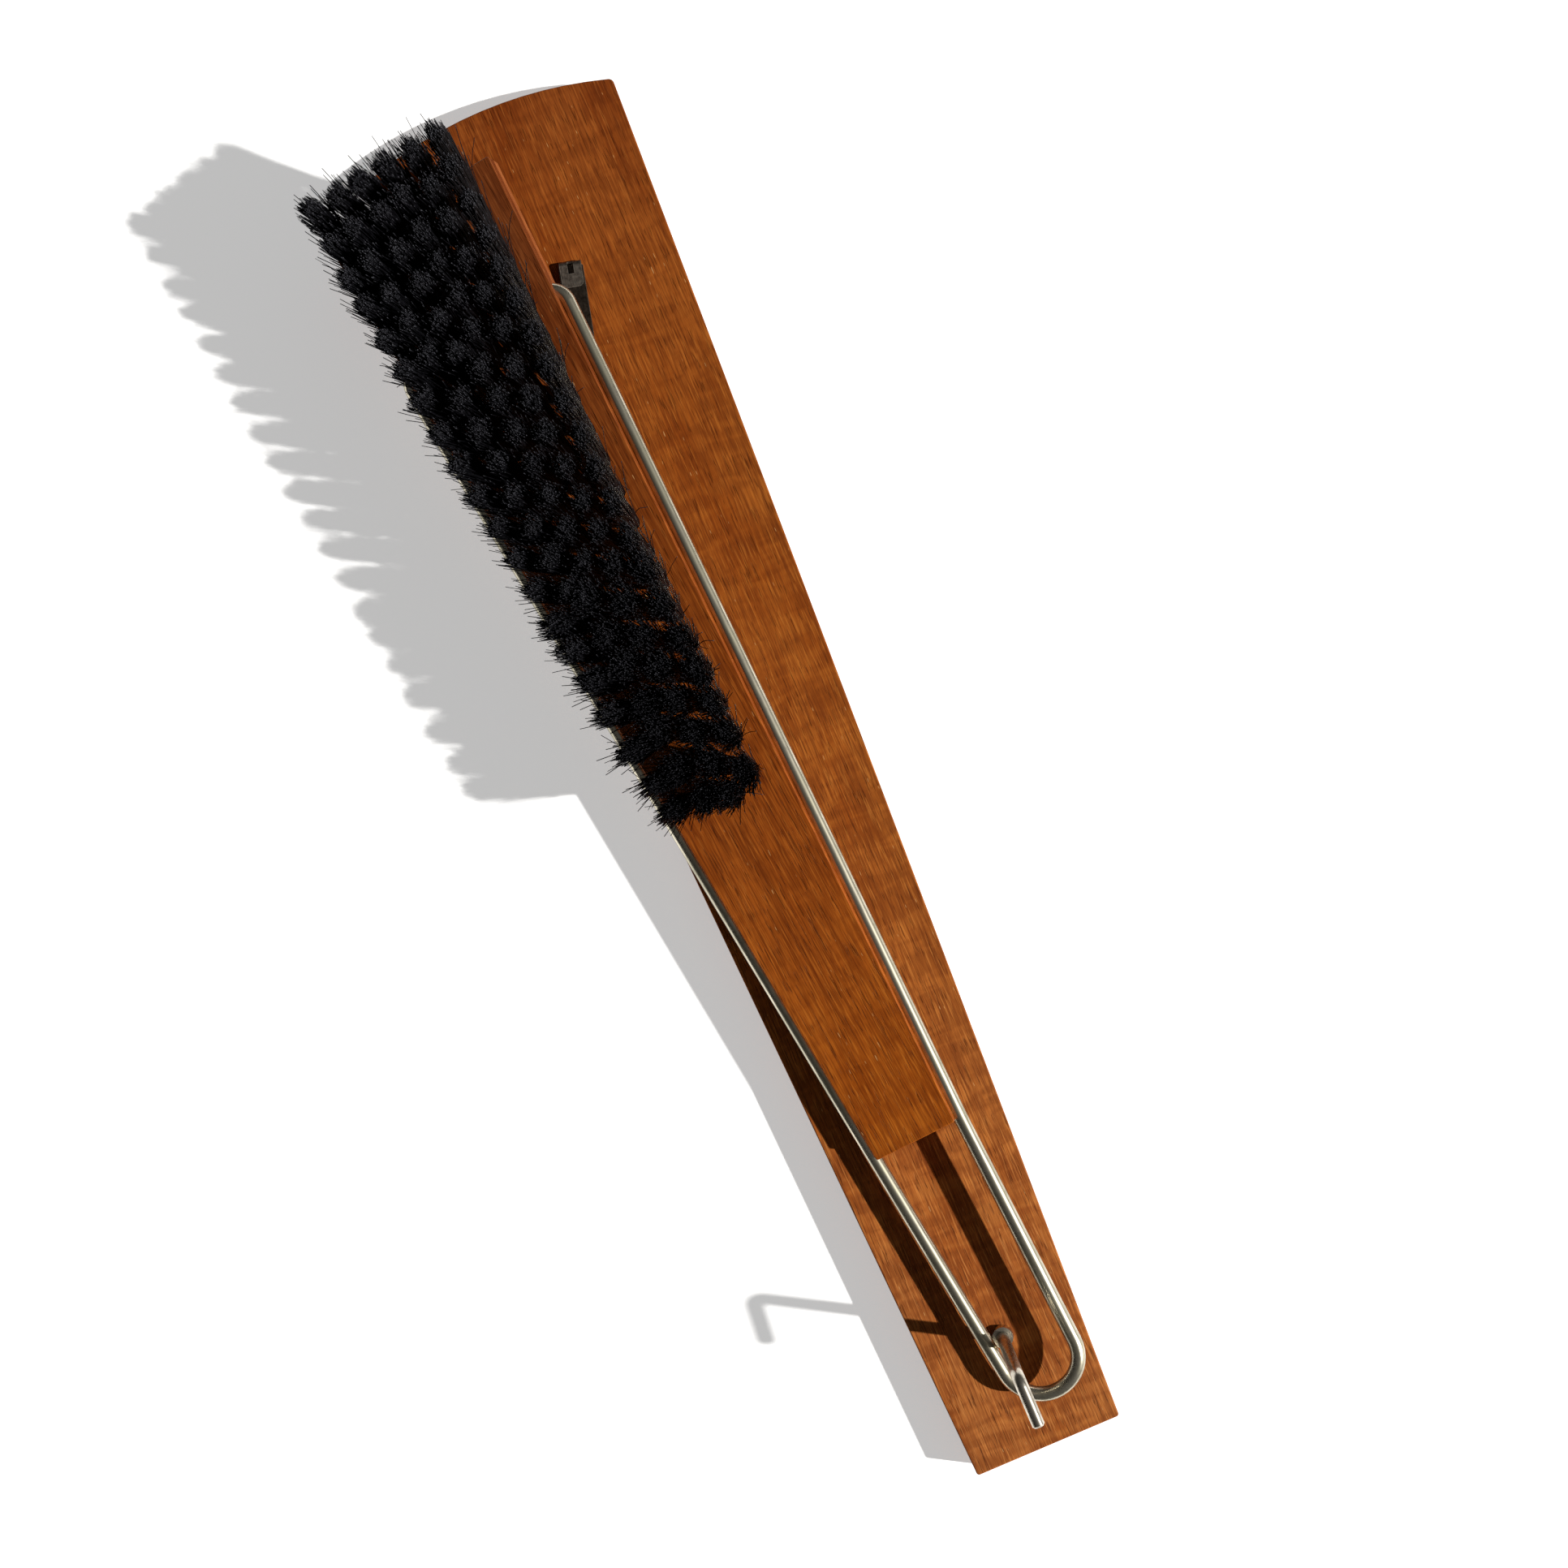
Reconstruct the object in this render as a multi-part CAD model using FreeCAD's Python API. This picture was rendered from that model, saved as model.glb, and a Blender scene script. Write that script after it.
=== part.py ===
"""Clothes brush with a wire loop handle, hooked on a tapered wooden wall board.

Millimetres. The board lies on its back: Z points out of its face, Y along it towards the hook
end (up, on a wall) and X across it. The origin is the centre of its back face.
The brush is built in its own frame and then laid on the board, skewed and rolled. In that frame
Y runs along the brush towards the loop, Z out of the bristle face, and the origin is on that
face, at the middle of the body's narrow end.
"""
import FreeCAD, Part
import os
from math import atan2, cos, degrees, pi, radians, sin, sqrt, tan

V = FreeCAD.Vector
UP = V(0, 0, 1)

# ---- Driving dimensions ----------------------------------------------------------------

# Wall board
BOARD_LENGTH = 381.6            # narrow end to the corners of the wide end
BOARD_NARROW = 41.1
BOARD_WIDE = 71.6
BOARD_THICK = 10.0
BOARD_ARCH = 5.7                # how far the wide end bows out
BOARD_NEAR_CORNER = 0.8
BOARD_FAR_CORNER = 1.6
BOARD_EDGE = 0.4

# Hook, near the narrow end of the board
HOOK_Y = 159.0
HOOK_RADIUS = 1.65
HOOK_POST = 39.9                # board face to the middle of the elbow
HOOK_BEND = 3.0
HOOK_SLOPE = 4.0                # the arm's rise from the board, degrees
HOOK_ARM = 13.6                 # middle of the elbow to the tip
HOOK_TIP_BEVEL = 0.5
SHANK_RADIUS = 1.5
SHANK_DEPTH = 7.5
COLLAR_FOOT = 3.15
COLLAR_TOP = 2.8
COLLAR_HEIGHT = 1.8
RUNNING_GAP = 0.05              # radial, where one piece turns on another

# Hanger plate on the back of the narrow end
PLATE_WIDTH = 10.0
PLATE_THICK = 1.0
PLATE_LOW_Y = 158.5
PLATE_OVERHANG = 1.0            # past the board's end
KEY_ENTRY_Y = 172.5
KEY_ENTRY_RADIUS = 3.2
KEY_SLOT_RADIUS = 1.75
KEY_SLOT_LENGTH = 6.5
KEY_POCKET_DEPTH = 6.0
KEY_POCKET_GAP = 1.0
PLATE_SCREW_Y = (163.5, 186.0)

# Keeper clip on the face of the wide end
CLIP_FOLD = V(-6.15, -149.9, BOARD_THICK)
CLIP_TURN = -14.0               # degrees about Z
CLIP_WIDTH = 6.6
CLIP_FLAP_WIDTH = 5.9
CLIP_LENGTH = 38.0
CLIP_THICK = 0.5
CLIP_FOLD_RADIUS = 1.1
CLIP_FLAP = 6.8
CLIP_FLAP_DROP = 9.0            # degrees
CLIP_NOTCH = (1.6, 3.4)         # across and along
CLIP_SCREW_AT = 33.0            # from the fold

# Wood screws
SCREW_RADIUS = 1.2
SCREW_LENGTH = 7.0
SCREW_HEAD = 2.5
SCREW_SLOT = 0.6
THREAD_PITCH = 0.9
THREAD_DEPTH = 0.3
PILOT_GAP = 0.02
ROUND_HEAD_HEIGHT = 1.5

# Brush body: a drilled tuft board glued to a back board
BODY_LENGTH = 278.7             # narrow end to the corners of the wide end
BODY_NARROW = 23.4
BODY_WIDE = 48.8
TUFT_BOARD_THICK = 4.15
BACK_BOARD_THICK = 3.85
BODY_CORNER = 0.7
BODY_EDGE = 0.35

# Wire handle, lying in the seam between the two boards
WIRE_RADIUS = 2.0
WIRE_GAP = 0.05                 # radial, between the wire and its groove
WIRE_BEND = 5.0                 # where the ends turn into the body
WIRE_END_Y = -241.8
WIRE_END_HALF = 24.4            # leg's middle line from the brush's axis, at the bend
WIRE_END_DEPTH = 2.2            # straight length of the turned-in end
WIRE_NECK_HALF = 12.8           # the same half spacing, at the body's narrow end
LOOP_RADIUS = 10.4
LOOP_CENTRE = V(-0.85, 65.8, 0)

# Bristle tufts
TUFT_ROWS = 20
TUFT_PITCH = 8.8
TUFT_FIRST_Y = -274.0
TUFT_MARGIN = 7.6               # outer tufts from the body's side
TUFT_ZONES = ((0, 5, 6), (6, 12, 5), (13, 19, 4))   # first row, last row, tufts in each row
TUFT_HOLE = 1.7
TUFT_ROOT_DEPTH = 2.6
TUFT_ROOT_RADIUS = 1.6
TUFT_TIP_RADIUS = 2.4
OUTER_TIP_RADIUS = 3.4          # the same for the outer tufts, which spread further
STAGGER_ROWS = 6                # rows over which the stagger grows from nothing to half a pitch
TUFT_HEIGHT = 24.0
LEAN_FIRST = 10.0               # how far the first row's tips lean over the wide end
LEAN_LAST = 1.0                 # the same for the last row
LEAN_ACROSS = 0.14              # outward lean of a tip, for each unit its root is off the axis
DRAW_WIRE_RADIUS = 0.25
DRAW_GROOVE = 0.6
DRAW_WIRE_OVERRUN = 3.0

# How the brush lies on the board
BRUSH_SKEW = 5.26               # degrees: about Z, about its own length, then about its own width
BRUSH_ROLL = 10.3
BRUSH_PITCH = -0.3
BRUSH_ORIGIN = V(0.75, 100.2, BOARD_THICK + 11.3)

BRUSH_PLACE = FreeCAD.Placement(BRUSH_ORIGIN, FreeCAD.Rotation(BRUSH_SKEW, BRUSH_ROLL, BRUSH_PITCH))


# ---- Helpers -----------------------------------------------------------------------------

def save(node, shape):
    """Write one node, after checking that each of its solids is sound."""
    for solid in shape.Solids:
        if not solid.isValid() or solid.Volume <= 0:
            raise ValueError(node + " is not a sound solid")
    shape.exportStep("parts/" + node + ".step")
    print(f"{node:20s} solids {len(shape.Solids):3d}  volume {shape.Volume:10.1f}")


def on_brush(shape):
    """Carry a shape from the brush's own frame to where the brush lies."""
    moved = shape.copy()
    moved.Placement = BRUSH_PLACE.multiply(moved.Placement)
    return moved


def line(start, end):
    return Part.LineSegment(start, end).toShape()


def arc(start, middle, end):
    return Part.Arc(start, middle, end).toShape()


def rod(edges, radius):
    """A round rod along connected, tangent edges."""
    path = Part.Wire(edges)
    start = path.Edges[0].valueAt(path.Edges[0].FirstParameter)
    heading = path.Edges[0].tangentAt(path.Edges[0].FirstParameter)
    section = Part.Wire([Part.makeCircle(radius, start, heading)])
    return path.makePipeShell([section], True, False)


def edges_at(solid, axis, level):
    """The edges that lie wholly in the plane axis = level."""
    low, high = axis + "Min", axis + "Max"
    return [e for e in solid.Edges
            if abs(getattr(e.BoundBox, low) - level) < 1e-3
            and abs(getattr(e.BoundBox, high) - level) < 1e-3]


def uprights_at(solid, y):
    """The vertical edges at the height y of an outline."""
    return [e for e in edges_at(solid, "Y", y)
            if e.BoundBox.ZLength > 1.0 and e.BoundBox.XLength < 1e-3]


def tapered_plate(length, near_y, narrow, wide, arch, near_corner, far_corner, z_low, z_high):
    """A tapered plate, straight at its near end; its far end bows out by arch."""
    far_y = near_y - length
    near_left = V(narrow / 2, near_y, z_low)
    near_right = V(-narrow / 2, near_y, z_low)
    far_right = V(-wide / 2, far_y, z_low)
    far_left = V(wide / 2, far_y, z_low)
    far_end = arc(far_right, V(0, far_y - arch, z_low), far_left) if arch else line(far_right, far_left)
    outline = Part.Wire([line(near_left, near_right), line(near_right, far_right),
                         far_end, line(far_left, near_left)])
    plate = Part.Face(outline).extrude(V(0, 0, z_high - z_low))
    plate = plate.makeFillet(near_corner, uprights_at(plate, near_y))
    return plate.makeFillet(far_corner, uprights_at(plate, far_y))


def obround(half_width, low_y, high_y, z_low, height):
    """A flat bar with round ends, whose end centres are at low_y and high_y."""
    bar = Part.makeBox(2 * half_width, high_y - low_y, height, V(-half_width, low_y, z_low))
    ends = [Part.makeCylinder(half_width, height, V(0, y, z_low)) for y in (low_y, high_y)]
    return bar.fuse(ends).removeSplitter()


def threaded_shank(radius, length):
    """A pointed thread of plain ridges, hanging down from z = 0."""
    turns = int(length / THREAD_PITCH) - 1
    profile = [V(0, 0, 0), V(radius, 0, 0)]
    for turn in range(turns):
        top = -THREAD_PITCH * (turn + 0.4)
        profile.append(V(radius, 0, top))
        profile.append(V(radius - THREAD_DEPTH, 0, top - THREAD_PITCH / 3))
        profile.append(V(radius, 0, top - 2 * THREAD_PITCH / 3))
    profile.append(V(0, 0, -length))
    profile.append(V(0, 0, 0))
    return Part.Face(Part.makePolygon(profile)).revolve(V(0, 0, 0), UP, 360)


def head_cone(gap, at, heading):
    """The cone of a countersunk head, or with a gap the seat it lies in."""
    return Part.makeCone(SCREW_HEAD + gap, SCREW_RADIUS + gap, SCREW_HEAD - SCREW_RADIUS, at, heading)


def flat_head_screw():
    """A countersunk wood screw, its head's face at z = 0 and its point below."""
    head = head_cone(0, V(0, 0, 0), V(0, 0, -1))
    shank = threaded_shank(SCREW_RADIUS, SCREW_LENGTH)
    slot = Part.makeBox(3 * SCREW_HEAD, SCREW_SLOT, 2 * SCREW_SLOT,
                        V(-1.5 * SCREW_HEAD, -SCREW_SLOT / 2, -SCREW_SLOT))
    return head.fuse(shank).cut(slot)


def round_head_screw():
    """A round-head wood screw, with the underside of its head at z = 0."""
    ball_radius = (SCREW_HEAD ** 2 + ROUND_HEAD_HEIGHT ** 2) / (2 * ROUND_HEAD_HEIGHT)
    ball = Part.makeSphere(ball_radius, V(0, 0, ROUND_HEAD_HEIGHT - ball_radius))
    head = ball.common(Part.makeCylinder(SCREW_HEAD, ROUND_HEAD_HEIGHT))
    slot = Part.makeBox(3 * SCREW_HEAD, SCREW_SLOT, SCREW_SLOT,
                        V(-1.5 * SCREW_HEAD, -SCREW_SLOT / 2, ROUND_HEAD_HEIGHT - SCREW_SLOT))
    return head.fuse(threaded_shank(SCREW_RADIUS, SCREW_LENGTH)).cut(slot)


# ---- Wall board and what is fixed to it ---------------------------------------------------

def clip_point(along, height=0.0):
    """A point on the clip's middle line, measured from its fold."""
    turn = radians(CLIP_TURN)
    return CLIP_FOLD + V(-sin(turn) * along, cos(turn) * along, height)


def wall_board():
    near_y = BOARD_LENGTH / 2
    board = tapered_plate(BOARD_LENGTH, near_y, BOARD_NARROW, BOARD_WIDE, BOARD_ARCH,
                          BOARD_NEAR_CORNER, BOARD_FAR_CORNER, 0, BOARD_THICK)
    board = board.makeFillet(BOARD_EDGE, edges_at(board, "Z", BOARD_THICK))
    board = board.makeChamfer(BOARD_EDGE / 2, edges_at(board, "Z", 0))
    plate_end = near_y + PLATE_OVERHANG - PLATE_WIDTH / 2
    seat = obround(PLATE_WIDTH / 2 + PILOT_GAP, PLATE_LOW_Y + PLATE_WIDTH / 2, plate_end,
                   -1, PLATE_THICK + 1)
    pocket = obround(KEY_ENTRY_RADIUS + KEY_POCKET_GAP, KEY_ENTRY_Y, KEY_ENTRY_Y + KEY_SLOT_LENGTH,
                     0, KEY_POCKET_DEPTH)
    hook_hole = Part.makeCylinder(SHANK_RADIUS + PILOT_GAP, SHANK_DEPTH + 1,
                                  V(0, HOOK_Y, BOARD_THICK - SHANK_DEPTH - 2 * PILOT_GAP))
    clip_hole = Part.makeCylinder(SCREW_RADIUS + PILOT_GAP, SCREW_LENGTH + 1,
                                  clip_point(CLIP_SCREW_AT, CLIP_THICK - SCREW_LENGTH - PILOT_GAP))
    plate_holes = [Part.makeCylinder(SCREW_RADIUS + PILOT_GAP, SCREW_LENGTH + PILOT_GAP, V(0, y, 0))
                   for y in PLATE_SCREW_Y]
    head_seats = [head_cone(PILOT_GAP, V(0, y, 0), UP) for y in PLATE_SCREW_Y]
    return board.cut([seat, pocket, hook_hole, clip_hole] + plate_holes + head_seats)


def hook_rod():
    """The hook: a threaded shank, a post, an elbow and a straight arm that slopes outwards."""
    slope = radians(HOOK_SLOPE)
    elbow = V(0, HOOK_Y, BOARD_THICK + HOOK_POST)
    heading = V(0, cos(slope), sin(slope))
    turn = pi / 2 - slope
    setback = HOOK_BEND * tan(turn / 2)
    bend_start = elbow - UP * setback
    bend_end = elbow + heading * setback
    inward = (heading - UP).normalize()
    to_centre = HOOK_BEND / cos(turn / 2)
    bend_middle = elbow + inward * (to_centre - HOOK_BEND)
    tip = elbow + heading * HOOK_ARM
    foot = V(0, HOOK_Y, BOARD_THICK)
    bar = rod([line(foot, bend_start), arc(bend_start, bend_middle, bend_end), line(bend_end, tip)],
              HOOK_RADIUS)
    tip_rim = [e for e in bar.Edges
               if e.isClosed() and (e.BoundBox.Center - tip).Length < 0.1]
    bar = bar.makeChamfer(HOOK_TIP_BEVEL, tip_rim)
    shank = threaded_shank(SHANK_RADIUS, SHANK_DEPTH)
    shank.translate(foot)
    return bar.fuse(shank)


def hook_collar():
    """A conical collar, loose on the hook's post."""
    cone = Part.makeCone(COLLAR_FOOT, COLLAR_TOP, COLLAR_HEIGHT, V(0, HOOK_Y, BOARD_THICK))
    bore = Part.makeCylinder(HOOK_RADIUS + RUNNING_GAP, COLLAR_HEIGHT, V(0, HOOK_Y, BOARD_THICK))
    return cone.cut(bore)


def hanger_plate():
    end_y = BOARD_LENGTH / 2 + PLATE_OVERHANG - PLATE_WIDTH / 2
    plate = obround(PLATE_WIDTH / 2, PLATE_LOW_Y + PLATE_WIDTH / 2, end_y, 0, PLATE_THICK)
    entry = Part.makeCylinder(KEY_ENTRY_RADIUS, PLATE_THICK, V(0, KEY_ENTRY_Y, 0))
    slot = obround(KEY_SLOT_RADIUS, KEY_ENTRY_Y, KEY_ENTRY_Y + KEY_SLOT_LENGTH, 0, PLATE_THICK)
    seats = [head_cone(PILOT_GAP, V(0, y, 0), UP) for y in PLATE_SCREW_Y]
    return plate.cut([entry, slot] + seats)


def hanger_screws():
    screws = []
    for y in PLATE_SCREW_Y:
        screw = flat_head_screw()
        screw.rotate(V(0, 0, 0), V(1, 0, 0), 180)
        screw.translate(V(0, y, 0))
        screws.append(screw)
    return Part.makeCompound(screws)


def keeper_clip():
    """A flat strap, folded back on itself at its free end; built along Y from the fold."""
    radius, thick = CLIP_FOLD_RADIUS, CLIP_THICK
    leaf = Part.makeBox(CLIP_WIDTH, CLIP_LENGTH - radius, thick, V(-CLIP_WIDTH / 2, radius, 0))
    leaf = leaf.makeFillet(CLIP_WIDTH / 3, [e for e in leaf.Edges
                                            if e.BoundBox.ZLength > 0.9 * thick
                                            and e.BoundBox.YMin > radius + 1])
    fold_axis = V(-CLIP_FLAP_WIDTH / 2, radius, radius)
    across_way = V(1, 0, 0)
    outer = Part.makeCylinder(radius, CLIP_FLAP_WIDTH, fold_axis, across_way)
    inner = Part.makeCylinder(radius - thick, CLIP_FLAP_WIDTH, fold_axis, across_way)
    beyond_leaf = Part.makeBox(CLIP_FLAP_WIDTH, 2 * radius, radius, V(-CLIP_FLAP_WIDTH / 2, radius, 0))
    beyond_flap = Part.makeBox(CLIP_FLAP_WIDTH, 2 * radius, 2 * radius, fold_axis)
    flap = Part.makeBox(CLIP_FLAP_WIDTH, CLIP_FLAP - radius, thick,
                        V(-CLIP_FLAP_WIDTH / 2, radius, 2 * radius - thick))
    flap = flap.makeFillet(CLIP_FLAP_WIDTH / 4, [e for e in flap.Edges
                                                 if e.BoundBox.ZLength > 0.9 * thick
                                                 and e.BoundBox.YMin > radius + 1])
    beyond_flap.rotate(fold_axis, across_way, -CLIP_FLAP_DROP)
    flap.rotate(fold_axis, across_way, -CLIP_FLAP_DROP)
    fold = outer.cut([inner, beyond_leaf, beyond_flap])
    across, along = CLIP_NOTCH
    notch = Part.makeBox(across, along, 2 * radius, V(-across / 2, 0, radius))
    hole = Part.makeCylinder(SCREW_RADIUS + PILOT_GAP, thick, V(0, CLIP_SCREW_AT, 0))
    clip = leaf.fuse([fold, flap]).cut([notch, hole])
    clip.rotate(V(0, 0, 0), UP, CLIP_TURN)
    clip.translate(CLIP_FOLD)
    return clip


def clip_screw():
    screw = round_head_screw()
    screw.rotate(V(0, 0, 0), UP, CLIP_TURN * 3)
    screw.translate(clip_point(CLIP_SCREW_AT, CLIP_THICK))
    return screw


# ---- Brush ---------------------------------------------------------------------------------

def leg_corner(side):
    """Where one leg of the wire turns into the body."""
    return V(side * WIRE_END_HALF, WIRE_END_Y, -TUFT_BOARD_THICK)


def leg_neck(side):
    """Where one leg of the wire passes the narrow end of the body."""
    return V(side * WIRE_NECK_HALF, 0, -TUFT_BOARD_THICK)


def loop_tangent(side):
    """Where one leg of the wire runs into the round of the loop."""
    centre = LOOP_CENTRE - UP * TUFT_BOARD_THICK
    reach = centre - leg_neck(side)
    bearing = atan2(reach.y, reach.x)
    opening = atan2(LOOP_RADIUS, sqrt(reach.Length ** 2 - LOOP_RADIUS ** 2))
    heading = bearing - side * opening
    run = sqrt(reach.Length ** 2 - LOOP_RADIUS ** 2)
    return leg_neck(side) + V(cos(heading), sin(heading), 0) * run


def leg_end(side):
    """The turned-in end of one leg: the straight end, the bend, and where the bend stops."""
    corner = leg_corner(side)
    inward = V(-side, 0, 0)
    along = (leg_neck(side) - corner).normalize()
    turn = pi - along.getAngle(inward)
    setback = WIRE_BEND * tan(turn / 2)
    middle_way = (inward + along).normalize()
    bend_middle = corner + middle_way * (WIRE_BEND / cos(turn / 2) - WIRE_BEND)
    bend_stop = corner + along * setback
    bend_start = corner + inward * setback
    return [line(corner + inward * (setback + WIRE_END_DEPTH), bend_start),
            arc(bend_start, bend_middle, bend_stop)], bend_stop


def handle_rod(radius):
    """The whole wire: in from one side, up a leg, round the loop and down the other leg."""
    left_end, left_stop = leg_end(1)
    right_end, right_stop = leg_end(-1)
    crown = LOOP_CENTRE + V(0, LOOP_RADIUS, -TUFT_BOARD_THICK)
    edges = left_end + [line(left_stop, leg_neck(1)),
                        line(leg_neck(1), loop_tangent(1)),
                        arc(loop_tangent(1), crown, loop_tangent(-1)),
                        line(loop_tangent(-1), leg_neck(-1)),
                        line(leg_neck(-1), right_stop)]
    return edges + right_end[::-1]


def half_width(y):
    """Half the body's width at a distance y from its narrow end."""
    return (BODY_NARROW - (BODY_WIDE - BODY_NARROW) * y / BODY_LENGTH) / 2


def row_columns(row):
    return [count for first, last, count in TUFT_ZONES if first <= row <= last][0]


def tuft_root(row, column):
    """Where a tuft leaves the face; inside the outer columns every other one is staggered."""
    count = row_columns(row)
    spread = 2 * column / (count - 1) - 1
    inside = column % 2 and column < count - 1
    step = 0.5 * min(1, row / STAGGER_ROWS) if inside else 0
    y = TUFT_FIRST_Y + TUFT_PITCH * (row + step)
    x = spread * (half_width(y) - TUFT_MARGIN)
    return V(x, y, 0)


def tuft_heading(row, column):
    lean = LEAN_FIRST + (LEAN_LAST - LEAN_FIRST) * row / (TUFT_ROWS - 1)
    return V(LEAN_ACROSS * tuft_root(row, column).x, -lean, TUFT_HEIGHT).normalize()


def tuft_holes():
    """One slanted hole right through the tuft board for each tuft."""
    holes = []
    for row in range(TUFT_ROWS):
        for column in range(row_columns(row)):
            heading = tuft_heading(row, column)
            reach = 2 * TUFT_BOARD_THICK
            start = tuft_root(row, column) - heading * reach
            holes.append(Part.makeCylinder(TUFT_HOLE, 2 * reach, start, heading))
    return holes


def draw_lines():
    """The straight line along each column on the back of the tuft board, as end points."""
    lines = []
    for first, last, count in TUFT_ZONES:
        for column in range(count):
            ends = []
            for row, step in ((first, -1), (last, 1)):
                root = tuft_root(row, column)
                heading = tuft_heading(row, column)
                foot = root - heading * (TUFT_BOARD_THICK / heading.z)
                ends.append(foot + V(0, step * DRAW_WIRE_OVERRUN, 0))
            lines.append(ends)
    return lines


def draw_groove(start, end):
    run = end - start
    groove = Part.makeBox(run.Length, DRAW_GROOVE, DRAW_GROOVE, V(0, -DRAW_GROOVE / 2, 0))
    groove.rotate(V(0, 0, 0), UP, degrees(atan2(run.y, run.x)))
    groove.translate(V(start.x, start.y, -TUFT_BOARD_THICK))
    return groove


def drawing_wires():
    wires = []
    for start, end in draw_lines():
        run = end - start
        at = start + UP * DRAW_WIRE_RADIUS
        wires.append(Part.makeCylinder(DRAW_WIRE_RADIUS, run.Length, at, run))
    return Part.makeCompound(wires)


def body_layer(z_low, z_high):
    return tapered_plate(BODY_LENGTH, 0, BODY_NARROW, BODY_WIDE, 0, BODY_CORNER, BODY_CORNER, z_low, z_high)


def tuft_board(wire_space):
    layer = body_layer(-TUFT_BOARD_THICK, 0)
    layer = layer.makeFillet(BODY_EDGE, edges_at(layer, "Z", 0))
    grooves = [draw_groove(start, end) for start, end in draw_lines()]
    return layer.cut([wire_space] + grooves + tuft_holes())


def back_board(wire_space):
    bottom = -TUFT_BOARD_THICK - BACK_BOARD_THICK
    layer = body_layer(bottom, -TUFT_BOARD_THICK)
    layer = layer.makeFillet(BODY_EDGE, edges_at(layer, "Z", bottom))
    return layer.cut(wire_space)


def bristle_tuft(row, column):
    """A tuft as one solid: a plug in its hole, then a cone out to its trimmed tip."""
    heading = tuft_heading(row, column)
    below = TUFT_ROOT_DEPTH / heading.z
    above = TUFT_HEIGHT / heading.z
    outer = column in (0, row_columns(row) - 1)
    tip_radius = OUTER_TIP_RADIUS if outer else TUFT_TIP_RADIUS
    profile = [V(0, 0, -below), V(TUFT_ROOT_RADIUS, 0, -below), V(TUFT_ROOT_RADIUS, 0, 0),
               V(tip_radius, 0, above), V(0, 0, above), V(0, 0, -below)]
    tuft = Part.Face(Part.makePolygon(profile)).revolve(V(0, 0, 0), UP, 360)
    tuft.Placement = FreeCAD.Placement(tuft_root(row, column), FreeCAD.Rotation(UP, heading))
    return tuft


def bristle_row(row):
    return Part.makeCompound([bristle_tuft(row, column) for column in range(row_columns(row))])


def main():
    os.makedirs("parts", exist_ok=True)
    save("wall_board", wall_board())
    save("hook_rod", hook_rod())
    save("hook_collar", hook_collar())
    save("hanger_plate", hanger_plate())
    save("hanger_screws", hanger_screws())
    save("keeper_clip", keeper_clip())
    save("clip_screw", clip_screw())
    wire_edges = handle_rod(WIRE_RADIUS)
    wire = rod(wire_edges, WIRE_RADIUS)
    wire_space = rod(wire_edges, WIRE_RADIUS + WIRE_GAP)
    save("handle_wire", on_brush(wire))
    save("tuft_board", on_brush(tuft_board(wire_space)))
    save("back_board", on_brush(back_board(wire_space)))
    save("drawing_wires", on_brush(drawing_wires()))
    for row in range(TUFT_ROWS):
        save(f"bristle_row_{row + 1:02d}", on_brush(bristle_row(row)))


main()
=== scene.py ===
import math
import random

import bmesh
import bpy
from mathutils import Matrix, Vector


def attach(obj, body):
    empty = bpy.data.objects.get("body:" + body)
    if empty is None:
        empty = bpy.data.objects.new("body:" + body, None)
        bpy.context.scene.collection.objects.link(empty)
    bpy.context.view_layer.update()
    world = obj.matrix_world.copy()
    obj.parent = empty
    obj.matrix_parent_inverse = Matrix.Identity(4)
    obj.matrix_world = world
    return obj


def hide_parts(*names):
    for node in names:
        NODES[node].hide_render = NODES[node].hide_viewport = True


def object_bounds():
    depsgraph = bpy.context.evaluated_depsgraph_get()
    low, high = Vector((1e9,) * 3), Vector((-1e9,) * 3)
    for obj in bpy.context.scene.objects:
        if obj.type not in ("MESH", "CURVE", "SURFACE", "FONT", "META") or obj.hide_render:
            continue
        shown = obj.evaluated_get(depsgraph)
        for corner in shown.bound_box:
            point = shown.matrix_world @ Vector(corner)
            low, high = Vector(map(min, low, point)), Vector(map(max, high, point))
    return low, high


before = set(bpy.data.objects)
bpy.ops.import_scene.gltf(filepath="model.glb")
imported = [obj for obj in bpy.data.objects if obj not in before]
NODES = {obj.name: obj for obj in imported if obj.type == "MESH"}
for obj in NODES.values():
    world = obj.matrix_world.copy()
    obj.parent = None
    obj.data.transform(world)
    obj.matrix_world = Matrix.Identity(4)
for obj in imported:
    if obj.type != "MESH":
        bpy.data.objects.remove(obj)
cad_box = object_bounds()
MM = 0.001

# ---- How the brush lies: its own frame, Z out of the bristle face --------------------------

BRUSH_SKEW, BRUSH_ROLL, BRUSH_PITCH = (math.radians(a) for a in (5.26, 10.3, -0.3))
BRUSH_ORIGIN = Vector((0.75, 100.2, 21.3)) * MM
TURN = (Matrix.Rotation(BRUSH_SKEW, 4, "Z")
        @ Matrix.Rotation(BRUSH_ROLL, 4, "Y")
        @ Matrix.Rotation(BRUSH_PITCH, 4, "X"))
TO_WORLD = Matrix.Translation(BRUSH_ORIGIN) @ TURN
TO_BRUSH = TO_WORLD.inverted()


# ---- Node materials ----------------------------------------------------------------------

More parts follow.
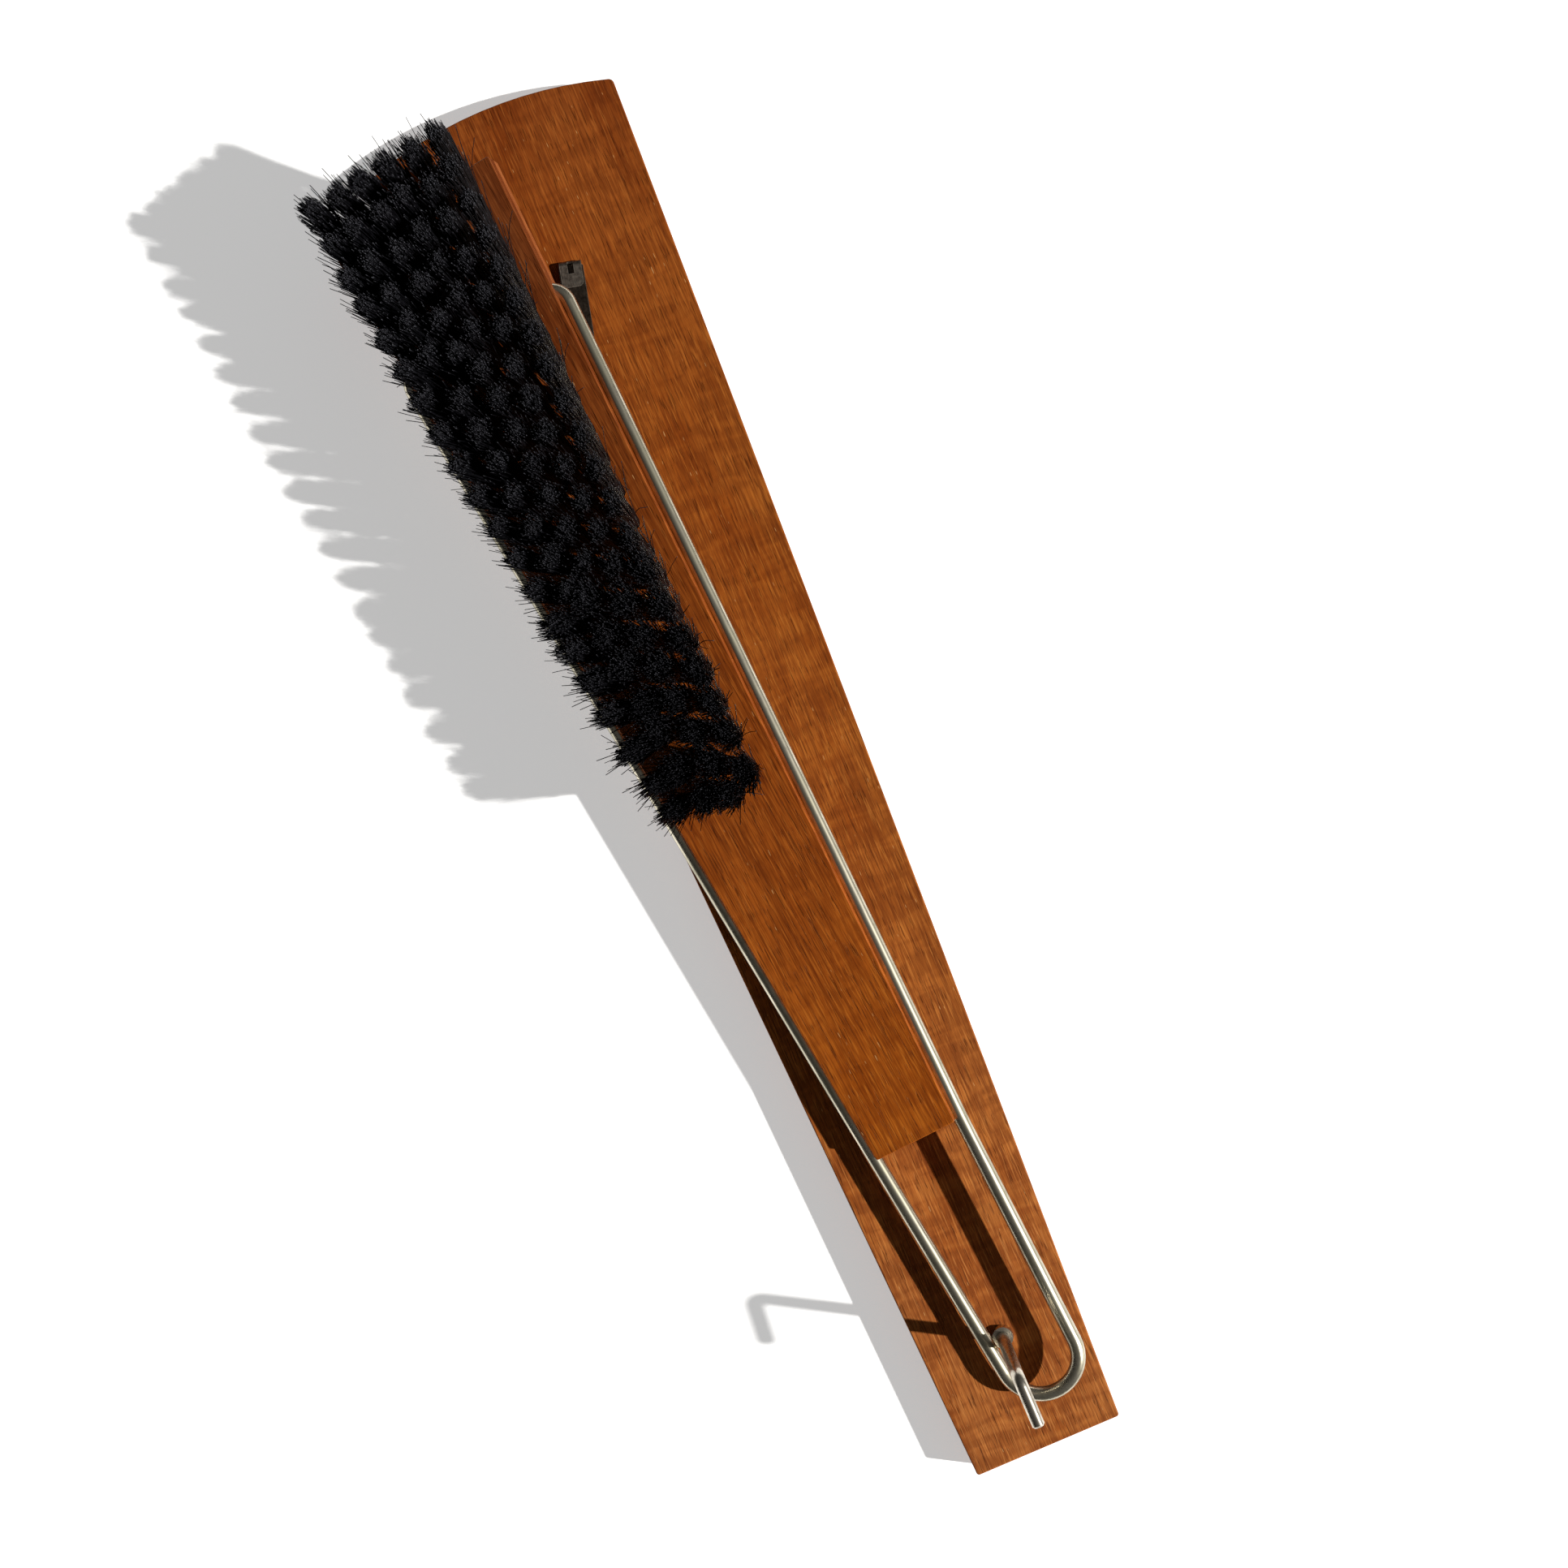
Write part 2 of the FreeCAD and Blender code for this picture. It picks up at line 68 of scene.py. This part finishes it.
class Tree:
    """A short way to write a material's nodes."""

    def __init__(self, name):
        self.material = bpy.data.materials.new(name)
        self.material.use_nodes = True
        self.nodes = self.material.node_tree.nodes
        self.links = self.material.node_tree.links
        self.nodes.clear()
        self.shader = self.nodes.new("ShaderNodeBsdfPrincipled")
        out = self.nodes.new("ShaderNodeOutputMaterial")
        self.links.new(self.shader.outputs[0], out.inputs[0])

    def put(self, socket, value):
        if isinstance(value, bpy.types.NodeSocket):
            self.links.new(value, socket)
        else:
            socket.default_value = value

    def surface(self, **inputs):
        for key, value in inputs.items():
            self.put(self.shader.inputs[key.replace("_", " ")], value)

    def place(self, turn=0.0, stretch=(1, 1, 1), shift=(0, 0, 0)):
        """Object coordinates in metres, turned about Z and then stretched."""
        coords = self.nodes.new("ShaderNodeTexCoord").outputs["Object"]
        turned = self.nodes.new("ShaderNodeMapping")
        turned.inputs["Rotation"].default_value = (0, 0, -turn)
        self.links.new(coords, turned.inputs["Vector"])
        scaled = self.nodes.new("ShaderNodeMapping")
        scaled.inputs["Scale"].default_value = stretch
        scaled.inputs["Location"].default_value = shift
        self.links.new(turned.outputs[0], scaled.inputs["Vector"])
        return scaled.outputs[0]

    def noise(self, vector, scale, detail=2.0, rough=0.5, distort=0.0):
        node = self.nodes.new("ShaderNodeTexNoise")
        self.links.new(vector, node.inputs["Vector"])
        node.inputs["Scale"].default_value = scale
        node.inputs["Detail"].default_value = detail
        node.inputs["Roughness"].default_value = rough
        node.inputs["Distortion"].default_value = distort
        return node.outputs["Fac"]

    def span(self, value, low, high, to_low=0.0, to_high=1.0):
        node = self.nodes.new("ShaderNodeMapRange")
        self.put(node.inputs["Value"], value)
        limits = {"From Min": low, "From Max": high, "To Min": to_low, "To Max": to_high}
        for key, number in limits.items():
            node.inputs[key].default_value = number
        return node.outputs[0]

    def math(self, kind, a, b=0.5):
        node = self.nodes.new("ShaderNodeMath")
        node.operation = kind
        self.put(node.inputs[0], a)
        self.put(node.inputs[1], b)
        return node.outputs[0]

    def mix(self, share, a, b, blend="MIX"):
        node = self.nodes.new("ShaderNodeMix")
        node.data_type = "RGBA"
        node.blend_type = blend
        self.put(node.inputs[0], share)
        self.put(node.inputs[6], (*a, 1) if isinstance(a, tuple) else a)
        self.put(node.inputs[7], (*b, 1) if isinstance(b, tuple) else b)
        return node.outputs[2]

    def bump(self, height, distance, strength=1.0):
        node = self.nodes.new("ShaderNodeBump")
        self.put(node.inputs["Height"], height)
        node.inputs["Distance"].default_value = distance
        node.inputs["Strength"].default_value = strength
        return node.outputs[0]

    def height(self, axis="Y"):
        split = self.nodes.new("ShaderNodeSeparateXYZ")
        self.links.new(self.place(), split.inputs[0])
        return split.outputs[axis]

    def edge(self, radius):
        """1 on edges, 0 on flat faces; the wood uses it for wear and a painted edge highlight, the clip for
        a painted edge highlight.
        """
        bevel = self.nodes.new("ShaderNodeBevel")
        bevel.samples = 4
        bevel.inputs["Radius"].default_value = radius
        plain = self.nodes.new("ShaderNodeNewGeometry")
        dot = self.nodes.new("ShaderNodeVectorMath")
        dot.operation = "DOT_PRODUCT"
        self.links.new(bevel.outputs[0], dot.inputs[0])
        self.links.new(plain.outputs["Normal"], dot.inputs[1])
        return self.span(dot.outputs["Value"], 0.995, 0.90)


END_TINT = (1.0, 1.12, 3.2)     # greys the wood towards its near end


def wood(name, tones, turn, shift, gloss, figure, far, near, far_tone, near_tone):
    """Straight-grained hardwood. Its tone runs from far_tone at Y = far to near_tone at Y = near,
    and figure is the strength of the ripples across the grain."""
    t = Tree(name)
    dark, mid, light = tones
    along = t.span(t.height(), far, near)
    broad = t.noise(t.place(turn, (1, 0.20, 1), shift), 75, 3, 0.55, 0.6)
    colour = t.mix(t.span(broad, 0.36, 0.64), mid, light)
    ripple = t.noise(t.place(turn, (0.42, 1.0, 1), shift), 120, 2, 0.5, 1.2)
    fine = t.noise(t.place(turn, (0.30, 1.0, 1), (0.5, 0.2, 0)), 300, 1, 0.5, 0.8)
    ripple = t.math("ADD", t.math("MULTIPLY", ripple, 0.65), t.math("MULTIPLY", fine, 0.35))
    shade = t.math("MULTIPLY", t.span(ripple, 0.47, 0.58, 0.0, figure), t.span(along, 0.0, 1.0, 0.45, 0.72))
    colour = t.mix(shade, colour, (0.50 * mid[0], 0.42 * mid[1], 0.42 * mid[2]))
    glow = t.math("MULTIPLY", t.span(ripple, 0.48, 0.38, 0.0, figure), t.span(along, 0.0, 1.0, 0.20, 0.60))
    colour = t.mix(glow, colour, (1.20 * light[0], 1.35 * light[1], 1.3 * light[2]))
    bands = t.noise(t.place(turn, (1, 0.022, 1), shift), 420, 3, 0.6)
    colour = t.mix(t.span(bands, 0.48, 0.70, 0.0, 0.28), colour, dark)
    streaks = t.noise(t.place(turn, (1, 0.030, 1), shift), 1300, 2, 0.6)
    colour = t.mix(t.span(streaks, 0.50, 0.64, 0.0, 0.40), colour, dark)
    fibres = t.noise(t.place(turn, (1, 0.040, 1), shift), 2600, 2.5, 0.65)
    colour = t.mix(t.span(fibres, 0.42, 0.66, 0.0, 0.62), colour, dark)
    pale = t.span(t.noise(t.place(turn, (1, 0.045, 1), (0.3, 0.1, 0.2)), 2000, 2, 0.6), 0.55, 0.66)
    colour = t.mix(t.math("MULTIPLY", pale, 0.50), colour, (1.35 * light[0], 1.6 * light[1], 1.8 * light[2]))
    colour = t.mix(1.0, colour, t.mix(along, far_tone, near_tone), "MULTIPLY")
    colour = t.mix(t.math("POWER", t.span(along, 0.0, 1.0), 3.0), colour, END_TINT, "MULTIPLY")
    pores = t.span(t.noise(t.place(turn, (1, 0.055, 1), shift), 2500, 1.5, 0.5), 0.62, 0.67)
    colour = t.mix(t.math("MULTIPLY", pores, 0.50), colour, tuple(0.45 * c for c in dark))
    # Sparse tiny bright flecks: painted glints.
    painted_glints = t.span(t.noise(t.place(turn, (1, 0.12, 1), (0.7, 0.4, 0.1)), 2600, 0.0, 0.5), 0.83, 0.86)
    colour = t.mix(t.math("MULTIPLY", painted_glints, 0.7), colour, (0.62, 0.34, 0.13))
    # Paler edges: partly wear, partly a painted highlight where the edges catch the light.
    worn_and_highlit = t.edge(0.0006)
    colour = t.mix(t.math("MULTIPLY", worn_and_highlit, 0.14), colour, tuple(min(1, 1.5 * c) for c in light))
    height = t.math("SUBTRACT", t.math("MULTIPLY", fibres, 0.35), pores)
    t.surface(Base_Color=colour, Roughness=t.span(fibres, 0.3, 0.7, gloss - 0.06, gloss + 0.10),
              Specular_IOR_Level=0.22, Specular_Tint=(1.0, 0.62, 0.30, 1.0),
              Normal=t.bump(height, 0.00008, 0.9))
    return t.material


def metal(name, bright, dull, rough, blotch=260, streak=(1, 1, 1), turn=0.0):
    """Bare steel with a thin dull film, fine scratches and small pits."""
    t = Tree(name)
    film = t.noise(t.place(turn, streak), blotch, 4, 0.65, 0.4)
    grain = t.noise(t.place(turn, (1, 0.05, 1)), 3000, 1, 0.5)
    pits = t.span(t.noise(t.place(turn), 1300, 1, 0.5), 0.70, 0.76)
    colour = t.mix(t.span(film, 0.35, 0.65), dull, bright)
    colour = t.mix(t.math("MULTIPLY", pits, 0.20), colour, tuple(0.5 * c for c in dull))
    roughness = t.math("ADD", t.span(film, 0.3, 0.7, rough + 0.08, rough - 0.04),
                       t.span(grain, 0.3, 0.7, -0.01, 0.015))
    height = t.math("SUBTRACT", t.math("MULTIPLY", grain, 0.3), pits)
    t.surface(Base_Color=colour, Metallic=1.0, Roughness=roughness, Normal=t.bump(height, 0.000003, 0.15))
    return t.material


def clip_material():
    """Tarnished spring steel. Its folded-back flap is painted lighter, as lit, and the leaf under it darker,
    as painted shade and dark reflection; its edges carry a painted highlight.
    """
    t = Tree("clip_steel")
    film = t.noise(t.place(), 900, 4, 0.65, 0.5)
    grain = t.noise(t.place(math.radians(-14), (1, 0.06, 1)), 5200, 2, 0.6)
    # Painted light by height: the leaf's dark tones are painted shade and dark reflection, the raised flap's
    # lighter tones painted light.
    shaded_leaf = t.mix(t.span(film, 0.35, 0.65), (0.035, 0.026, 0.020), (0.090, 0.072, 0.056))
    lit_flap = t.mix(t.span(film, 0.35, 0.65), (0.110, 0.094, 0.078), (0.260, 0.228, 0.190))
    colour = t.mix(t.span(t.height("Z"), 0.0106, 0.0109), shaded_leaf, lit_flap)
    # Painted highlight along the clip's edges.
    colour = t.mix(t.math("MULTIPLY", t.edge(0.0003), 0.6), colour, (0.62, 0.55, 0.46))
    t.surface(Base_Color=colour, Metallic=1.0, Roughness=t.span(grain, 0.3, 0.7, 0.34, 0.52),
              Normal=t.bump(grain, 0.00002, 0.6))
    return t.material


def bristle_material():
    """Black hair with a faint blue tint; the cut tips are painted lighter in specks, a painted highlight
    where they catch the light.
    """
    t = Tree("black_bristle")
    share = t.nodes.new("ShaderNodeAttribute")
    share.attribute_name = "along"
    tone = t.noise(t.place(), 1400, 2, 0.5)
    glint = t.noise(t.place(), 4200, 0, 0.5)
    colour = t.mix(t.span(tone, 0.35, 0.65), (0.0018, 0.0018, 0.0024), (0.0055, 0.0052, 0.0066))
    # Painted highlight: lighter specks on the cut tips.
    tip = t.math("MULTIPLY", t.span(share.outputs["Fac"], 0.95, 1.0), t.span(glint, 0.52, 0.66, 0.04, 1.0))
    colour = t.mix(tip, colour, (0.085, 0.085, 0.098))
    t.surface(Base_Color=colour, Roughness=0.42, Specular_IOR_Level=0.12)
    return t.material


PLAIN = (1.0, 1.0, 1.0)
BOARD_WOOD = wood("board_wood", ((0.108, 0.017, 0.0012), (0.280, 0.057, 0.0028), (0.385, 0.096, 0.0060)),
                  0.0, (0.02, 0.05, 0.0), 0.50, 0.62, -0.19, 0.14, (0.75, 0.74, 1.9), (1.25, 1.45, 1.9))
# The tuft board's far tone darkens its face towards the wide end: painted shade.
TUFT_WOOD = wood("tuft_wood", ((0.100, 0.015, 0.0010), (0.275, 0.057, 0.0028), (0.385, 0.094, 0.0055)),
                 BRUSH_SKEW, (0.11, 0.31, 0.02), 0.46, 0.30, -0.15, 0.08,
                 (0.54, 0.56, 2.3), (1.20, 1.10, 0.6))
BACK_WOOD = wood("back_wood", ((0.130, 0.030, 0.008), (0.280, 0.075, 0.020), (0.350, 0.105, 0.030)),
                 BRUSH_SKEW, (0.43, 0.17, 0.05), 0.50, 0.20, -0.15, 0.10, PLAIN, PLAIN)
WIRE_STEEL = metal("wire_steel", (0.73, 0.67, 0.53), (0.44, 0.41, 0.30), 0.285, 230, (1, 0.5, 1), BRUSH_SKEW)
HOOK_STEEL = metal("hook_steel", (0.74, 0.68, 0.58), (0.40, 0.36, 0.29), 0.27, 420)
CLIP_STEEL = clip_material()
HIDDEN_STEEL = metal("hidden_steel", (0.48, 0.45, 0.40), (0.26, 0.24, 0.20), 0.32, 400)
BRISTLE = bristle_material()

LOOKS = {"wall_board": BOARD_WOOD, "tuft_board": TUFT_WOOD, "back_board": BACK_WOOD,
         "handle_wire": WIRE_STEEL, "hook_rod": HOOK_STEEL, "hook_collar": HOOK_STEEL,
         "keeper_clip": CLIP_STEEL, "clip_screw": CLIP_STEEL, "hanger_plate": HIDDEN_STEEL,
         "hanger_screws": HIDDEN_STEEL, "drawing_wires": HIDDEN_STEEL}
for node, look in LOOKS.items():
    for held in NODES[node].material_slots:
        held.material = look


# ---- Bristles: every tuft drawn hair by hair ------------------------------------------------

HAIRS = 330                     # in one tuft
HAIRS_APART = 430               # in one tuft of the rows that stand apart
ROOT_SPREAD = 1.62 * MM
TIP_SPREAD = 2.8 * MM           # in the row at the wide end
TIP_SPREAD_NARROW = 3.5 * MM    # in the last row before the rows that stand apart
TIP_SPREAD_APART = 4.9 * MM     # in the rows that stand apart
OPEN_ROW = 12                   # after this row the tufts stand apart
LEAN = 0.7 * MM                 # how far a whole tuft leans to any side at most
LEAN_APART = 1.4 * MM           # the same in the rows that stand apart
DOME = 3.0 * MM                 # how much lower a tuft's rim is cut than its middle
HAIR_ROOT = 0.140 * MM
HAIR_TIP = 0.105 * MM
SUNK = 0.8 * MM                 # how far the hairs start below the face
TRIM = 3.0 * MM                 # how unevenly the tips are cut
STRAY = 0.08                    # share of hairs that stand out of their tuft
STRAY_RIM = 0.16                # the same at the wide end and along the open side
FLAT_ROWS = 2                   # rows at the wide end whose tufts are cut flatter
NARROWED = 0.28                 # how much closer the open side's tufts keep along the brush
TUCKED = 0.12                   # how much closer the handle side's tufts keep across it
SPLAY = 1.5 * MM                # how far the tufts along the open side lean out over the edge
SPLAY_ROW = 7                   # the first row that leans out so far
FLARE = 3.4 * MM                # how far the last row's open side leans on towards the handle
FLARE_FROM = 15                 # the rows after this one lean more and more that way
BENT = 0.004                    # share of hairs bent over near the root
THICKNESS = (0.85, 1.15)        # how a hair's thickness varies
CENTRE_SHARE = 0.68             # below 1, more hairs stand near a tuft's middle
FAN = 1.15                      # above 1, a hair leans out more towards its tip
LOOSE = 0.5 * MM                # how far a tip strays from its even place
BOW = 0.35 * MM                 # how far a hair bows sideways at its middle
STRAY_REACH = (0.4, 2.1)        # square roots of the least and greatest extra reach, in mm
STEPS = 4                       # points along one hair
ROWS = sorted(node for node in NODES if node.startswith("bristle_row"))


def centre(points):
    return sum(points, Vector()) / len(points)


def tufts(node):
    """The tufts of a row, as pairs (where it leaves the face, its tip), in the brush's frame."""
    mesh = bmesh.new()
    mesh.from_mesh(NODES[node].data)
    bmesh.ops.remove_doubles(mesh, verts=mesh.verts, dist=1e-6)
    left = set(mesh.verts)
    found = []
    while left:
        part, edge_of = set(), [left.pop()]
        while edge_of:
            vert = edge_of.pop()
            part.add(vert)
            for link in vert.link_edges:
                other = link.other_vert(vert)
                if other in left:
                    left.discard(other)
                    edge_of.append(other)
        points = [TO_BRUSH @ v.co for v in part]
        middle = centre(points)
        heading = max(points, key=lambda p: p.z) - min(points, key=lambda p: p.z)
        for _ in range(3):
            along = [(p - middle).dot(heading) for p in points]
            low, high = min(along), max(along)
            edge = 0.02 * (high - low)
            root = centre([p for p, a in zip(points, along) if a < low + edge])
            tip = centre([p for p, a in zip(points, along) if a > high - edge])
            heading = tip - root
        found.append((root - heading * (root.z / heading.z), tip))
    mesh.free()
    return sorted(found, key=lambda pair: (round(pair[0].x, 5), round(pair[0].y, 5)))


def hair(mesh, points, radii):
    """One tapered, three-sided hair along points, added to mesh = (corners, faces, shares)."""
    corners, faces, shares = mesh
    first = len(corners)
    heading = (points[-1] - points[0]).normalized()
    side = heading.cross(Vector((0, 1, 0))).normalized()
    other = heading.cross(side)
    rings = len(points)
    for ring, (point, radius) in enumerate(zip(points, radii)):
        for k in range(3):
            angle = 2 * math.pi * k / 3
            corner = point + side * (radius * math.cos(angle)) + other * (radius * math.sin(angle))
            corners.append(inside(TO_WORLD @ corner))
            shares.append(ring / (rings - 1))
    for ring in range(rings - 1):
        for k in range(3):
            a = first + 3 * ring + k
            b = first + 3 * ring + (k + 1) % 3
            faces.append((a, b, b + 3, a + 3))
    faces.append((first + 2, first + 1, first))
    last = first + 3 * (rings - 1)
    faces.append((last, last + 1, last + 2))


def inside(corner):
    """Keeps a point within the CAD box."""
    low, high = cad_box
    return tuple(min(max(c, a + 0.05 * MM), b - 0.05 * MM) for c, a, b in zip(corner, low, high))


def around(angle, reach):
    return Vector((math.cos(angle), math.sin(angle), 0)) * reach


def plain_hair(rng, root, tip, opening, dome, stray):
    """The line of one hair that follows its tuft, which opens to opening = (across, along) at its tip."""
    angle = rng.uniform(0, 2 * math.pi)
    share = rng.random() ** CENTRE_SHARE
    start = root + around(angle, share * ROOT_SPREAD)
    start.z = -SUNK
    loose = rng.gauss(0, LOOSE)
    if rng.random() < stray:
        loose += rng.uniform(*STRAY_REACH) ** 2 * MM
    way = around(angle + rng.gauss(0, 0.3), 1.0)
    end = tip + Vector((way.x * (share * opening[0] + loose), way.y * (share * opening[1] + loose), 0))
    end.z = tip.z - 0.1 * MM - share ** 2 * dome - rng.random() ** 2 * TRIM
    bow = around(rng.uniform(0, 2 * math.pi), rng.gauss(0, BOW))
    points = []
    for step in range(STEPS):
        t = step / (STEPS - 1)
        fan = t ** FAN
        point = Vector((start.x + (end.x - start.x) * fan, start.y + (end.y - start.y) * fan,
                        start.z + (end.z - start.z) * t))
        points.append(point + bow * math.sin(math.pi * t))
    return points


def bent_hair(rng, root):
    """A stray hair that has bent over near its root and curls out sideways."""
    outward = 1 if root.x > 0 else -1
    start = root + around(rng.uniform(0, 2 * math.pi), ROOT_SPREAD)
    start.z = -SUNK
    reach = rng.uniform(3, 9) * MM
    drop = rng.uniform(-9, 4) * MM
    rise = rng.uniform(5, 15) * MM
    points = []
    for step in range(STEPS):
        t = step / (STEPS - 1)
        points.append(start + Vector((outward * reach * t ** 0.8, drop * t * t, rise * math.sin(2.0 * t))))
    return points


def bristles(node, number):
    rng = random.Random(1000 + number)
    made = ([], [], [])
    apart = min(1, number / OPEN_ROW)
    flare = max(0, number - FLARE_FROM) / (len(ROWS) - 1 - FLARE_FROM)
    open_row = TIP_SPREAD + (TIP_SPREAD_NARROW - TIP_SPREAD) * apart
    hairs, lean = HAIRS, LEAN
    if number > OPEN_ROW:
        open_row, hairs, lean = TIP_SPREAD_APART, HAIRS_APART, LEAN_APART
    held = tufts(node)
    dome = 0.4 * DOME if number < FLAT_ROWS else DOME
    outermost = max(root.x for root, _ in held)
    for root, tip in held:
        side = root.x / outermost
        tip.x += SPLAY * min(1, number / SPLAY_ROW) * max(0, side) ** 1.5
        tip.y += FLARE * flare * (0.55 + 0.45 * side) * rng.uniform(0.6, 1.25)
        tip += around(rng.uniform(0, 2 * math.pi), rng.uniform(0, lean))
        open_to = open_row * rng.uniform(0.92, 1.12)
        opening = (open_to * (1 - TUCKED * apart * max(0, -side)), open_to * (1 - NARROWED * apart * side))
        stray = STRAY_RIM if number < FLAT_ROWS or side > 0.9 else STRAY
        for _ in range(hairs):
            bent = rng.random() < BENT
            line = bent_hair(rng, root) if bent else plain_hair(rng, root, tip, opening, dome, stray)
            thick = rng.uniform(*THICKNESS)
            radii = [thick * (HAIR_ROOT + (HAIR_TIP - HAIR_ROOT) * k / (STEPS - 1)) for k in range(STEPS)]
            hair(made, line, radii)
    corners, faces, shares = made
    mesh = bpy.data.meshes.new(node + "_hairs")
    mesh.from_pydata(corners, [], faces)
    mesh.attributes.new("along", "FLOAT", "POINT").data.foreach_set("value", shares)
    mesh.materials.append(BRISTLE)
    piece = bpy.data.objects.new(node + "_hairs", mesh)
    bpy.context.scene.collection.objects.link(piece)
    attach(piece, "brush")
    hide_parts(node)


for number, node in enumerate(ROWS):
    bristles(node, number)


# ---- Floor, light and camera -----------------------------------------------------------------

FLOOR_REACH = 1.5
FLOOR_Z = -0.02 * MM            # just under the board's back, so the two don't share a plane


def floor():
    mesh = bpy.data.meshes.new("floor")
    ways = ((-1, -1), (1, -1), (1, 1), (-1, 1))
    mesh.from_pydata([(x * FLOOR_REACH, y * FLOOR_REACH, FLOOR_Z) for x, y in ways], [], [(0, 1, 2, 3)])
    t = Tree("floor_paper")
    paper = t.noise(t.place(), 900, 3, 0.6)
    colour = t.mix(t.span(paper, 0.3, 0.7), (0.87, 0.87, 0.87), (0.89, 0.89, 0.89))
    t.surface(Base_Color=colour, Roughness=0.95, Specular_IOR_Level=0.0,
              Emission_Color=(1, 1, 1, 1), Emission_Strength=0.45)
    mesh.materials.append(t.material)
    ground = bpy.data.objects.new("floor", mesh)
    bpy.context.scene.collection.objects.link(ground)


floor()

TO_LIGHT = Vector((-0.696, 0.401, 0.595)).normalized()
SKY_DARK, SKY_BRIGHT = 0.025, 0.135     # away from the light and towards it
key = bpy.data.lights.new("key", "SUN")
key.energy = 4.85
key.angle = math.radians(1.3)
key.color = (1.0, 0.985, 0.955)
key_object = bpy.data.objects.new("key", key)
key_object.rotation_euler = TO_LIGHT.to_track_quat("Z", "Y").to_euler()
bpy.context.scene.collection.objects.link(key_object)

world = bpy.data.worlds.new("studio")
world.use_nodes = True
bpy.context.scene.world = world
tree = world.node_tree
tree.nodes.clear()
coords = tree.nodes.new("ShaderNodeTexCoord")
dot = tree.nodes.new("ShaderNodeVectorMath")
dot.operation = "DOT_PRODUCT"
dot.inputs[1].default_value = TO_LIGHT
level = tree.nodes.new("ShaderNodeMapRange")
level.inputs["From Min"].default_value = -0.2
level.inputs["From Max"].default_value = 1.0
level.inputs["To Min"].default_value = SKY_DARK
level.inputs["To Max"].default_value = SKY_BRIGHT
background = tree.nodes.new("ShaderNodeBackground")
background.inputs["Color"].default_value = (1.0, 0.98, 0.95, 1)
out = tree.nodes.new("ShaderNodeOutputWorld")
tree.links.new(coords.outputs["Generated"], dot.inputs[0])
tree.links.new(dot.outputs["Value"], level.inputs["Value"])
tree.links.new(level.outputs[0], background.inputs["Strength"])
tree.links.new(background.outputs[0], out.inputs[0])

CAMERA_TURN = 180 - 23.05       # degrees about Z: the board's hook end points down and right
camera = bpy.data.cameras.new("camera")
camera.sensor_width = 36
camera.lens = 51.6
camera.clip_start = 0.01
view = bpy.data.objects.new("camera", camera)
view.location = (-4.18 * MM, 0.54 * MM, 610 * MM)
view.rotation_euler = (0, 0, math.radians(CAMERA_TURN))
bpy.context.scene.collection.objects.link(view)
bpy.context.scene.camera = view
bpy.context.scene.view_settings.view_transform = "Standard"
